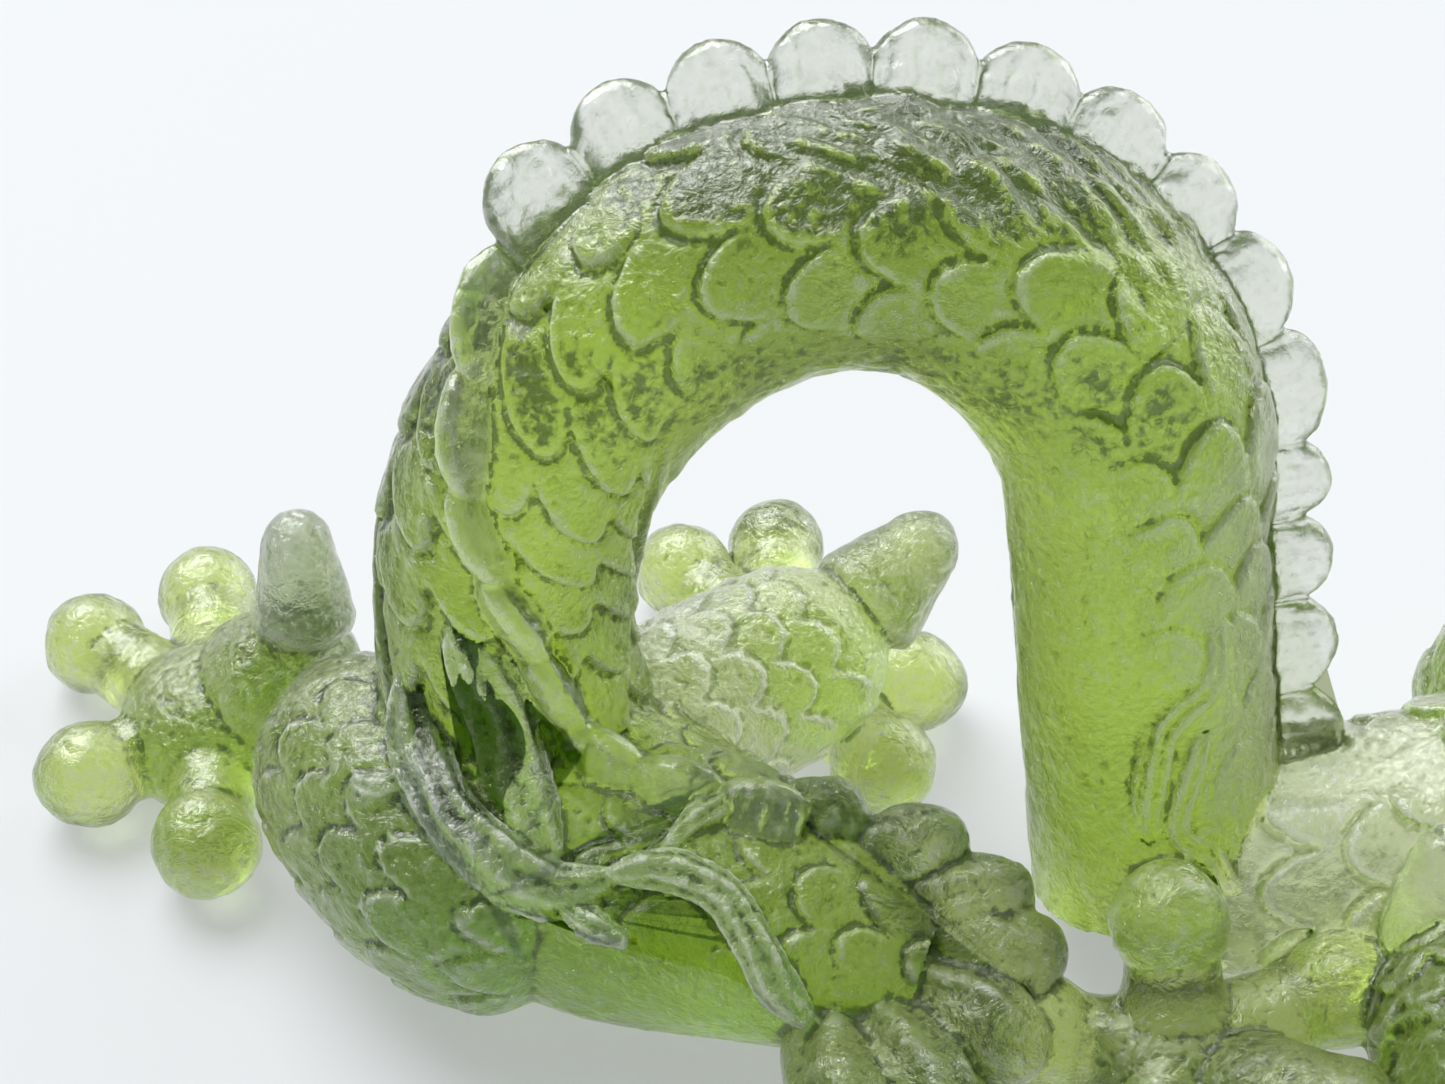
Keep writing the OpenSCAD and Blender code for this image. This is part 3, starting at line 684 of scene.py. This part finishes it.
def fused(parts):
    """All the shapes as one closed skin."""
    points, faces, start = [], [], 0
    for shape in itertools.chain(*parts.values()):
        points.append(shape.points)
        faces += [[v + start for v in face] for face in shape.faces]
        start += len(shape.points)
    obj = mesh_object("skin", np.vstack(points), faces)
    remesh = obj.modifiers.new("fuse", "REMESH")
    remesh.mode = "VOXEL"
    remesh.voxel_size = GRAIN * MM
    remesh.adaptivity = 0
    return applied(obj)


def get_points(mesh):
    """A mesh's points, in mm."""
    co = np.empty(len(mesh.vertices) * 3, np.float32)
    mesh.vertices.foreach_get("co", co)
    return co.reshape(-1, 3).astype(float) / MM


def set_points(mesh, points):
    """Gives a mesh its points, from mm."""
    mesh.vertices.foreach_set("co", (points * MM).astype(np.float32).ravel())
    mesh.update()


def get_normals(mesh):
    """The normals at a mesh's points."""
    no = np.empty(len(mesh.vertices) * 3, np.float32)
    mesh.vertices.foreach_get("normal", no)
    return no.reshape(-1, 3).astype(float)


def smoothed(mesh, points, rounds, weight=1.0):
    """Points drawn towards the mean of their neighbours, by weight."""
    ends = np.empty(len(mesh.edges) * 2, np.int32)
    mesh.edges.foreach_get("vertices", ends)
    a, b = ends[0::2], ends[1::2]
    total = len(points)
    degree = np.bincount(a, minlength=total) + np.bincount(b, minlength=total)
    for _ in range(rounds):
        mean = np.stack([
            np.bincount(a, points[b, i], total) + np.bincount(b, points[a, i], total) for i in range(3)
        ], 1) / degree[:, None]
        points = points + (0.5 * np.asarray(weight) * (mean - points).T).T
    return points


def carve(mesh):
    """Softens the skin, roughens it and keeps it on the table. Gives its points, normals and relief: how
    hollow or proud each point is, which the glass draws as painted shade in hollows and painted highlight on
    proud parts.
    """
    points = smoothed(mesh, get_points(mesh), 1, 0.5)
    set_points(mesh, points)
    depth = 0.1 * wobble(points, 1.4, 12) + 0.06 * wobble(points, 0.7, 13)
    points = points + depth[:, None] * get_normals(mesh)
    low, high = np.array(cad_low) / MM + INSET, np.array(cad_high) / MM - INSET
    points = np.clip(points, low, high)
    set_points(mesh, points)
    normals = get_normals(mesh)
    # From this relief the glass paints shade into hollows and highlight onto proud parts.
    hollow = np.sum((smoothed(mesh, points, 5) - points) * normals, axis=1)
    return points, normals, 0.5 - hollow / FULL_SHADE_DEPTH


def with_painted_light(points, relief, body):
    """Relief with painted shade along the top and the inside of the arch, and a painted glow that makes it
    paler outside its far column.
    """
    x, _, z = points.T
    # Painted shade over the top of the arch and on its inside.
    top = 0.5 * ease(z, 58, 63.5)
    inside = 0.36 * ease(z, 42, 47) * ease(55.5 - z, 0, 5)
    crown = (top + inside) * ease(75 - x, 0, 8)
    # Painted glow on the outside of the far column.
    column = ease(x, 42, 51) * ease(62 - x, 0, 5) * ease(z, 14, 22)
    return np.clip(relief + body * (0.6 * column - crown), 0, 1.3)


# ---------------------------------------------------------------- the skin cut into closed pieces


def nearest_part(parts, places):
    """For each place, the number of the part whose surface is nearest."""
    names = list(parts)
    total = sum(len(shape.points) for shape in itertools.chain(*parts.values()))
    tree = kdtree.KDTree(total)
    owner = []
    for number, name in enumerate(names):
        for shape in parts[name]:
            for point in shape.points.tolist():
                tree.insert(point, len(owner))
                owner.append(number)
    tree.balance()
    return np.array([owner[tree.find(place)[1]] for place in places.tolist()])


def face_pairs(faces, count):
    """Pairs of faces that share an edge."""
    a = faces.ravel()
    b = np.roll(faces, -1, axis=1).ravel()
    key = np.minimum(a, b).astype(np.int64) * count + np.maximum(a, b)
    order = np.argsort(key, kind="stable")
    same = key[order][1:] == key[order][:-1]
    face = order // faces.shape[1]
    return face[:-1][same], face[1:][same]


def calmed(labels, pairs, kinds, rounds=6):
    """Labels with each face voting with its neighbours, so that their borders run smoothly."""
    first, second = pairs
    for _ in range(rounds):
        votes = np.zeros((len(labels), kinds), np.int16)
        votes[np.arange(len(labels)), labels] = 1
        mine = votes.copy()
        np.add.at(votes, first, mine[second])
        np.add.at(votes, second, mine[first])
        labels = np.argmax(votes, axis=1)
    return labels


def without_islands(labels, pairs, least=150):
    """Labels with each small island given to a neighbour."""
    first, second = pairs
    for _ in range(4):
        group = np.arange(len(labels))
        inside = labels[first] == labels[second]
        a, b = first[inside], second[inside]
        while True:
            low = np.minimum(group[a], group[b])
            before = group.copy()
            np.minimum.at(group, a, low)
            np.minimum.at(group, b, low)
            group = group[group]
            if np.array_equal(before, group):
                break
        small = np.bincount(group, minlength=len(labels))[group] < least
        if not small.any():
            break
        labels = labels.copy()
        for p, q in ((first, second), (second, first)):
            edge = small[p] & (labels[p] != labels[q])
            labels[p[edge]] = labels[q[edge]]
    return labels


def walls_of(faces):
    """The directed edges of faces whose other side is missing. Faces are rows of 3 or 4 points."""
    net = {}
    for face in faces:
        for a, b in zip(face, face[1:] + face[:1]):
            if net.get((b, a), 0) > 0:
                net[b, a] -= 1
            else:
                net[a, b] = net.get((a, b), 0) + 1
    return [edge for edge, times in net.items() for _ in range(times)]


def loops_of(walls):
    """Closed loops of points, from directed edges."""
    onward = {}
    for a, b in walls:
        onward.setdefault(a, []).append(b)
    loops = []
    while onward:
        here = next(iter(onward))
        path, place = [], {}
        while True:
            if here in place:
                loops.append(path[place[here]:])
                for point in loops[-1]:
                    del place[point]
                del path[len(path) - len(loops[-1]):]
                if here not in onward:
                    break
            place[here] = len(path)
            path.append(here)
            after = onward[here].pop()
            if not onward[here]:
                del onward[here]
            here = after
    return loops


def laced(loop, points):
    """Triangles that close a loop, laced from one end of it, each with the loop edge that it stands on."""
    spots = points[loop]
    count = len(loop)
    start = int(np.argmax(np.linalg.norm(spots - spots.mean(0), axis=1)))
    a, b = (start + 1) % count, (start - 1) % count
    found = [((loop[a], loop[start], loop[b]), (loop[start], loop[a]))]
    while (b - a) % count > 1:
        next_a, next_b = (a + 1) % count, (b - 1) % count
        step_a = float(np.sum((spots[next_a] - spots[b]) ** 2))
        step_b = float(np.sum((spots[next_b] - spots[a]) ** 2))
        if step_a <= step_b:
            found.append(((loop[next_a], loop[a], loop[b]), (loop[a], loop[next_a])))
            a = next_a
        else:
            found.append(((loop[a], loop[b], loop[next_b]), (loop[next_b], loop[b])))
            b = next_b
    return found


def cut_up(points, faces, labels, names):
    """Cuts a closed skin into one closed piece for each label: its faces, and the caps that close it."""
    pairs = face_pairs(faces, len(points))
    owner = {}
    edges = np.stack([faces, np.roll(faces, -1, axis=1)], 2)
    border = np.unique(np.concatenate([side[labels[pairs[0]] != labels[pairs[1]]] for side in pairs]))
    for face in border.tolist():
        for a, b in edges[face].tolist():
            owner[a, b] = int(labels[face])
    caps = {number: [] for number in range(len(names))}
    last = len(names) - 1
    pieces = {}
    for number, name in enumerate(names):
        own = faces[labels == number].tolist()
        closing = []
        if number < last:
            for loop in loops_of(walls_of(own + caps[number])):
                for triangle, (a, b) in laced(loop, points):
                    closing.append(list(triangle))
                    other = max(owner.get((b, a), last), number + 1)
                    back = list(triangle[::-1])
                    caps[other].append(back)
                    for edge in zip(back, back[1:] + back[:1]):
                        owner[edge] = other
        pieces[name] = (own, caps[number] + closing)
    return pieces


def piece_object(name, skin_points, normals, relief, own, caps):
    """One closed piece, its caps marked as seams and drawn back a hair from its neighbours' caps."""
    faces = own + caps
    used, inverse = np.unique(np.fromiter(itertools.chain(*faces), np.int64), return_inverse=True)
    points = skin_points[used]
    corners = inverse.tolist()
    local, start = [], 0
    for face in faces:
        local.append(corners[start:start + len(face)])
        start += len(face)
    quads = np.array(local[:len(own)])
    centres = points[quads].mean(1)
    inward = np.zeros_like(points)
    for corner in quads.T:
        np.add.at(inward, corner, centres)
    held = np.bincount(quads.ravel(), minlength=len(points))
    inward = inward / np.maximum(held, 1)[:, None] - points
    seam = np.unique(np.fromiter(itertools.chain([0], *local[len(own):]), np.int64))
    seam = seam[held[seam] > 0]
    points[seam] += HAIR * unit(inward[seam])
    obj = mesh_object(name, points, local)
    mesh = obj.data
    # The relief attribute holds the skin's hollows and proud parts with painted shade and glow laid over
    # them; the glass draws it as painted shade, painted highlight and frosting.
    heights = mesh.attributes.new("relief", "FLOAT", "POINT")
    heights.data.foreach_set("value", relief[used].astype(np.float32))
    marks = mesh.attributes.new("seam", "FLOAT", "FACE")
    is_cap = np.concatenate([np.zeros(len(own)), np.ones(len(caps))])
    marks.data.foreach_set("value", is_cap.astype(np.float32))
    mesh.polygons.foreach_set("use_smooth", np.ones(len(mesh.polygons), bool))
    mesh.normals_split_custom_set_from_vertices(normals[used].tolist())
    return obj


# ---------------------------------------------------------------- materials

PATCHES, WRINKLES, GRAINS, SPECKS = 240, 700, 1400, 3600     # features per metre
BUMP_MM = 0.3


def ramp(nodes, places):
    """A colour ramp through (place, colour) pairs."""
    node = nodes.new("ShaderNodeValToRGB")
    stops = node.color_ramp.elements
    while len(stops) < len(places):
        stops.new(0.5)
    for stop, (place, colour) in zip(stops, places):
        stop.position = place
        stop.color = (*colour, 1)
    return node


def noise(nodes, links, place, scale, detail=4, distortion=0.0):
    """Noise over the object, with features of about 1/scale of a metre."""
    node = nodes.new("ShaderNodeTexNoise")
    node.inputs["Scale"].default_value = scale
    node.inputs["Detail"].default_value = detail
    node.inputs["Roughness"].default_value = 0.6
    node.inputs["Distortion"].default_value = distortion
    links.new(place.outputs["Object"], node.inputs["Vector"])
    return node.outputs["Fac"]


def added(nodes, links, first, second, share):
    """First plus a share of second."""
    node = nodes.new("ShaderNodeMath")
    node.operation = "MULTIPLY_ADD"
    node.inputs[1].default_value = share
    links.new(second, node.inputs[0])
    links.new(first, node.inputs[2])
    return node.outputs[0]


def frost_and_painted_light(nodes, links, place, grains):
    """How frosted and how light the glass is drawn: low, as painted shade, where it is hollow or looks up;
    high, as frosting with painted highlight, where it stands proud; mottled at random by grains and patches.
    """
    relief = nodes.new("ShaderNodeAttribute")
    relief.attribute_name = "relief"
    facing = nodes.new("ShaderNodeNewGeometry")
    upward = nodes.new("ShaderNodeSeparateXYZ")
    links.new(facing.outputs["Normal"], upward.inputs[0])
    # The relief gives painted shade in hollows and painted highlight on proud parts; grains and patches are
    # random mottling.
    frost_and_light_level = added(nodes, links, relief.outputs["Fac"], grains, 1.1)
    frost_and_light_level = added(nodes, links, frost_and_light_level, noise(nodes, links, place, PATCHES, 3), 0.6)
    # Painted shade: faces that look up are drawn darker.
    frost_and_light_level = added(nodes, links, frost_and_light_level, upward.outputs["Z"], -0.22)
    half = nodes.new("ShaderNodeMath")
    half.operation = "MULTIPLY"
    half.inputs[1].default_value = 0.5
    links.new(frost_and_light_level, half.inputs[0])
    return half.outputs[0]


def wrinkled(nodes, links, place, grains, strength):
    """The glass's normal, roughened by the mould."""
    wrinkles = nodes.new("ShaderNodeTexVoronoi")
    wrinkles.feature = "DISTANCE_TO_EDGE"
    wrinkles.inputs["Scale"].default_value = WRINKLES
    links.new(place.outputs["Object"], wrinkles.inputs["Vector"])
    height = added(nodes, links, grains, wrinkles.outputs["Distance"], 0.5)
    height = added(nodes, links, height, noise(nodes, links, place, SPECKS, 2), 0.15)
    bump = nodes.new("ShaderNodeBump")
    bump.inputs["Strength"].default_value = strength
    bump.inputs["Distance"].default_value = BUMP_MM * MM
    links.new(height, bump.inputs["Height"])
    return bump.outputs["Normal"]


def solid_share(nodes, links):
    """1 on the glass itself and 0 on the caps between its pieces, which light crosses freely."""
    seam = nodes.new("ShaderNodeAttribute")
    seam.attribute_name = "seam"
    solid = nodes.new("ShaderNodeMath")
    solid.operation = "SUBTRACT"
    solid.inputs[0].default_value = 1
    links.new(seam.outputs["Fac"], solid.inputs[1])
    return solid.outputs[0]


def glass(name, body, painted_shade, frost_and_highlight, depth_mm, rough=0.9, tint=(0.63, 0.78, 0.0), clear=0.96):
    """Cast glass: satin and wrinkled, with painted shade in its hollows and on faces that look up, and
    frosted, paler and less clear, with painted highlight, where it stands proud.
    """
    material = bpy.data.materials.new(name)
    material.use_nodes = True
    nodes, links = material.node_tree.nodes, material.node_tree.links
    shader = nodes["Principled BSDF"]
    shader.inputs["IOR"].default_value = 1.5
    shader.inputs["Coat Weight"].default_value = 0.7
    shader.inputs["Coat Roughness"].default_value = 0.06

    place = nodes.new("ShaderNodeTexCoord")
    grains = noise(nodes, links, place, GRAINS, 4, 0.6)
    frost_and_light_level = frost_and_painted_light(nodes, links, place, grains)
    # From painted shade, through the glass's own colour, to frosting with painted highlight.
    colours = ramp(nodes, [(0.42, painted_shade), (0.56, body), (0.64, body), (0.76, frost_and_highlight)])
    links.new(frost_and_light_level, colours.inputs[0])
    links.new(colours.outputs[0], shader.inputs["Base Color"])
    # Less clear where frosted, which adds to the painted highlight there.
    veil = ramp(nodes, [(0.7, (clear,) * 3), (0.92, (clear - 0.3,) * 3)])
    links.new(frost_and_light_level, veil.inputs[0])
    links.new(veil.outputs[0], shader.inputs["Transmission Weight"])
    polish = ramp(nodes, [(0.35, (0.1,) * 3), (0.7, (0.28,) * 3)])
    links.new(grains, polish.inputs[0])
    links.new(polish.outputs[0], shader.inputs["Roughness"])

    normal = wrinkled(nodes, links, place, grains, rough)
    links.new(normal, shader.inputs["Normal"])
    links.new(normal, shader.inputs["Coat Normal"])
    links.new(solid_share(nodes, links), shader.inputs["Alpha"])

    absorb = nodes.new("ShaderNodeVolumeAbsorption")
    absorb.inputs["Color"].default_value = (*tint, 1)
    absorb.inputs["Density"].default_value = 1 / (depth_mm * MM)
    links.new(absorb.outputs[0], nodes["Material Output"].inputs["Volume"])
    return material


# ---------------------------------------------------------------- table, light and camera

CAMERA_AIM = (12, 12, 28)              # the point it looks at, mm
CAMERA_AWAY = 205                      # mm
CAMERA_TILT = 40                       # degrees above the table


def table():
    """A plain pale table that the figure stands on."""
    size, drop = 4000.0, 0.05
    points = [[-size, -size, -drop], [size, -size, -drop], [size, size, -drop], [-size, size, -drop]]
    obj = mesh_object("table", points, [[0, 1, 2, 3]])
    material = bpy.data.materials.new("white_table")
    material.use_nodes = True
    shader = material.node_tree.nodes["Principled BSDF"]
    shader.inputs["Base Color"].default_value = (0.3, 0.31, 0.32, 1)
    shader.inputs["Emission Color"].default_value = (0.96, 0.985, 1, 1)
    shader.inputs["Emission Strength"].default_value = 0.38
    shader.inputs["Roughness"].default_value = 0.7
    shader.inputs["Specular IOR Level"].default_value = 0.2
    obj.data.materials.append(material)


def lamp(nodes, links, place, toward, edge, core, strength):
    """Light of a round lamp in the sky: nothing beyond edge, full within core, both as cosines."""
    dot = nodes.new("ShaderNodeVectorMath")
    dot.operation = "DOT_PRODUCT"
    dot.inputs[1].default_value = Vector(toward).normalized()
    links.new(place.outputs["Generated"], dot.inputs[0])
    fall = nodes.new("ShaderNodeMapRange")
    fall.interpolation_type = "SMOOTHSTEP"
    fall.inputs["From Min"].default_value = edge
    fall.inputs["From Max"].default_value = core
    fall.inputs["To Max"].default_value = strength
    links.new(dot.outputs["Value"], fall.inputs["Value"])
    return fall.outputs["Result"]


def sky():
    """A pale room: dim light all round, a bright lamp high at the back left, a wide one low at the right."""
    world = bpy.data.worlds.new("white_room")
    bpy.context.scene.world = world
    world.use_nodes = True
    nodes, links = world.node_tree.nodes, world.node_tree.links
    place = nodes.new("ShaderNodeTexCoord")
    key = lamp(nodes, links, place, (-0.35, 0.5, 0.8), 0.84, 0.965, 8)
    glow = lamp(nodes, links, place, (0.85, 0.6, 0.4), 0.8, 0.97, 3.5)
    both = added(nodes, links, key, glow, 1)
    light = nodes.new("ShaderNodeMath")
    light.operation = "ADD"
    light.inputs[1].default_value = 0.25
    links.new(both, light.inputs[0])
    lit = nodes["Background"]
    links.new(light.outputs[0], lit.inputs["Strength"])
    lit.inputs["Color"].default_value = (1, 1, 1, 1)
    seen = nodes.new("ShaderNodeBackground")
    seen.inputs["Color"].default_value = (0.86, 0.9, 0.92, 1)
    ray = nodes.new("ShaderNodeLightPath")
    room = nodes.new("ShaderNodeMixShader")
    links.new(ray.outputs["Is Camera Ray"], room.inputs["Fac"])
    links.new(lit.outputs[0], room.inputs[1])
    links.new(seen.outputs[0], room.inputs[2])
    links.new(room.outputs[0], nodes["World Output"].inputs["Surface"])


def camera():
    """The camera of the main view."""
    data = bpy.data.cameras.new("camera")
    data.lens = 65
    data.sensor_width = 36
    data.clip_start = 0.005
    obj = bpy.data.objects.new("camera", data)
    tilt = math.radians(CAMERA_TILT)
    x, y, z = CAMERA_AIM
    obj.location = Vector((x, y - CAMERA_AWAY * math.cos(tilt), z + CAMERA_AWAY * math.sin(tilt))) * MM
    obj.rotation_euler = (math.pi / 2 - tilt, 0, 0)
    bpy.context.scene.collection.objects.link(obj)
    bpy.context.scene.camera = obj


# ---------------------------------------------------------------- the pieces and their glass

# Each glass: its colour, its colour of painted shade for hollows, its colour where frosted with painted
# highlight, and its depth of absorption in mm
GLASSES = {
    "glass_deep": {
        "body": (0.70, 0.76, 0.42), "painted_shade": (0.07, 0.10, 0.05), "frost_and_highlight": (0.90, 0.93, 0.88),
        "depth_mm": 9.0, "tint": (0.57, 0.72, 0.0),
    },
    "glass_mid": {
        "body": (0.84, 0.90, 0.38), "painted_shade": (0.10, 0.13, 0.05), "frost_and_highlight": (0.89, 0.94, 0.78),
        "depth_mm": 10.0,
    },
    "glass_pale": {
        "body": (0.84, 0.90, 0.46), "painted_shade": (0.14, 0.19, 0.09), "frost_and_highlight": (0.92, 0.95, 0.90),
        "depth_mm": 10.0, "rough": 0.6,
    },
    "glass_light": {
        "body": (0.96, 0.98, 0.78), "painted_shade": (0.34, 0.42, 0.20), "frost_and_highlight": (0.96, 0.98, 0.94),
        "depth_mm": 60.0, "clear": 0.86,
    },
    "glass_frosted": {
        "body": (0.70, 0.76, 0.70), "painted_shade": (0.10, 0.13, 0.10), "frost_and_highlight": (0.94, 0.96, 0.95),
        "depth_mm": 13.0, "rough": 1.0, "clear": 0.86,
    },
    "glass_clear": {
        "body": (0.97, 0.98, 0.95), "painted_shade": (0.80, 0.84, 0.74), "frost_and_highlight": (0.98, 0.99, 0.98),
        "depth_mm": 60.0, "rough": 0.3, "clear": 0.92,
    },
    "glass_airy": {
        "body": (0.97, 0.99, 0.82), "painted_shade": (0.50, 0.56, 0.32), "frost_and_highlight": (0.97, 0.98, 0.95),
        "depth_mm": 40.0, "rough": 0.6, "clear": 0.88,
    },
}

# Pieces whose glass differs from the glass of their material slot
FINISHES = {
    "chest": "glass_airy",
    "hip_flame": "glass_frosted",
    "hind_spur_left": "glass_frosted",
    "hind_spur_right": "glass_deep",
    "hind_paw_left": "glass_deep",
    "hind_shank_left": "glass_deep",
    "hind_thigh_right": "glass_light",
    "hind_shank_right": "glass_light",
}


def corners_of(mesh):
    """The four corners of each face of the fused skin."""
    corners = np.empty(len(mesh.loops), np.int32)
    mesh.loops.foreach_get("vertex_index", corners)
    return corners.reshape(-1, 4)


def labelled(parts, mesh, faces):
    """For each face of the skin, the number of the part that it belongs to."""
    labels = nearest_part(parts, get_points(mesh)[faces].mean(1))
    neighbours = face_pairs(faces, len(mesh.vertices))
    return without_islands(calmed(labels, neighbours, len(parts)), neighbours)


def tinted(faces, labels, names, slots, count):
    """1 at the points of tinted glass and 0 at those of clear glass."""
    clear = [number for number, name in enumerate(names) if slots[name] == "glass_clear"]
    body = np.ones(count)
    body[faces[np.isin(labels, clear)]] = 0
    return body


def figure(slots):
    """The whole figure: one closed piece of glass for each CAD node."""
    parts = figure_parts()
    names = list(parts)
    skin = fused(parts)
    faces = corners_of(skin.data)
    labels = labelled(parts, skin.data, faces)
    points, normals, relief = carve(skin.data)
    bpy.data.objects.remove(skin)
    # Painted shade on the top and inside of the arch and painted glow on its far column, on tinted glass
    # only.
    relief = with_painted_light(points, relief, tinted(faces, labels, names, slots, len(points)))
    glasses = {name: glass(name, **recipe) for name, recipe in GLASSES.items()}
    for name, (own, caps) in cut_up(points, faces, labels, names).items():
        piece = piece_object("glass_" + name, points, normals, relief, own, caps)
        piece.data.materials.append(glasses[FINISHES.get(name, slots[name])])
        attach(piece, "root")
        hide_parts(name)


figure({row["node"]: row["material_slot"] for row in frame["record"]["subparts"]})
table()
sky()
camera()
scene = bpy.context.scene
scene.view_settings.view_transform = "Standard"
scene.cycles.transparent_max_bounces = 48     # enough to cross all the caps in the light's way
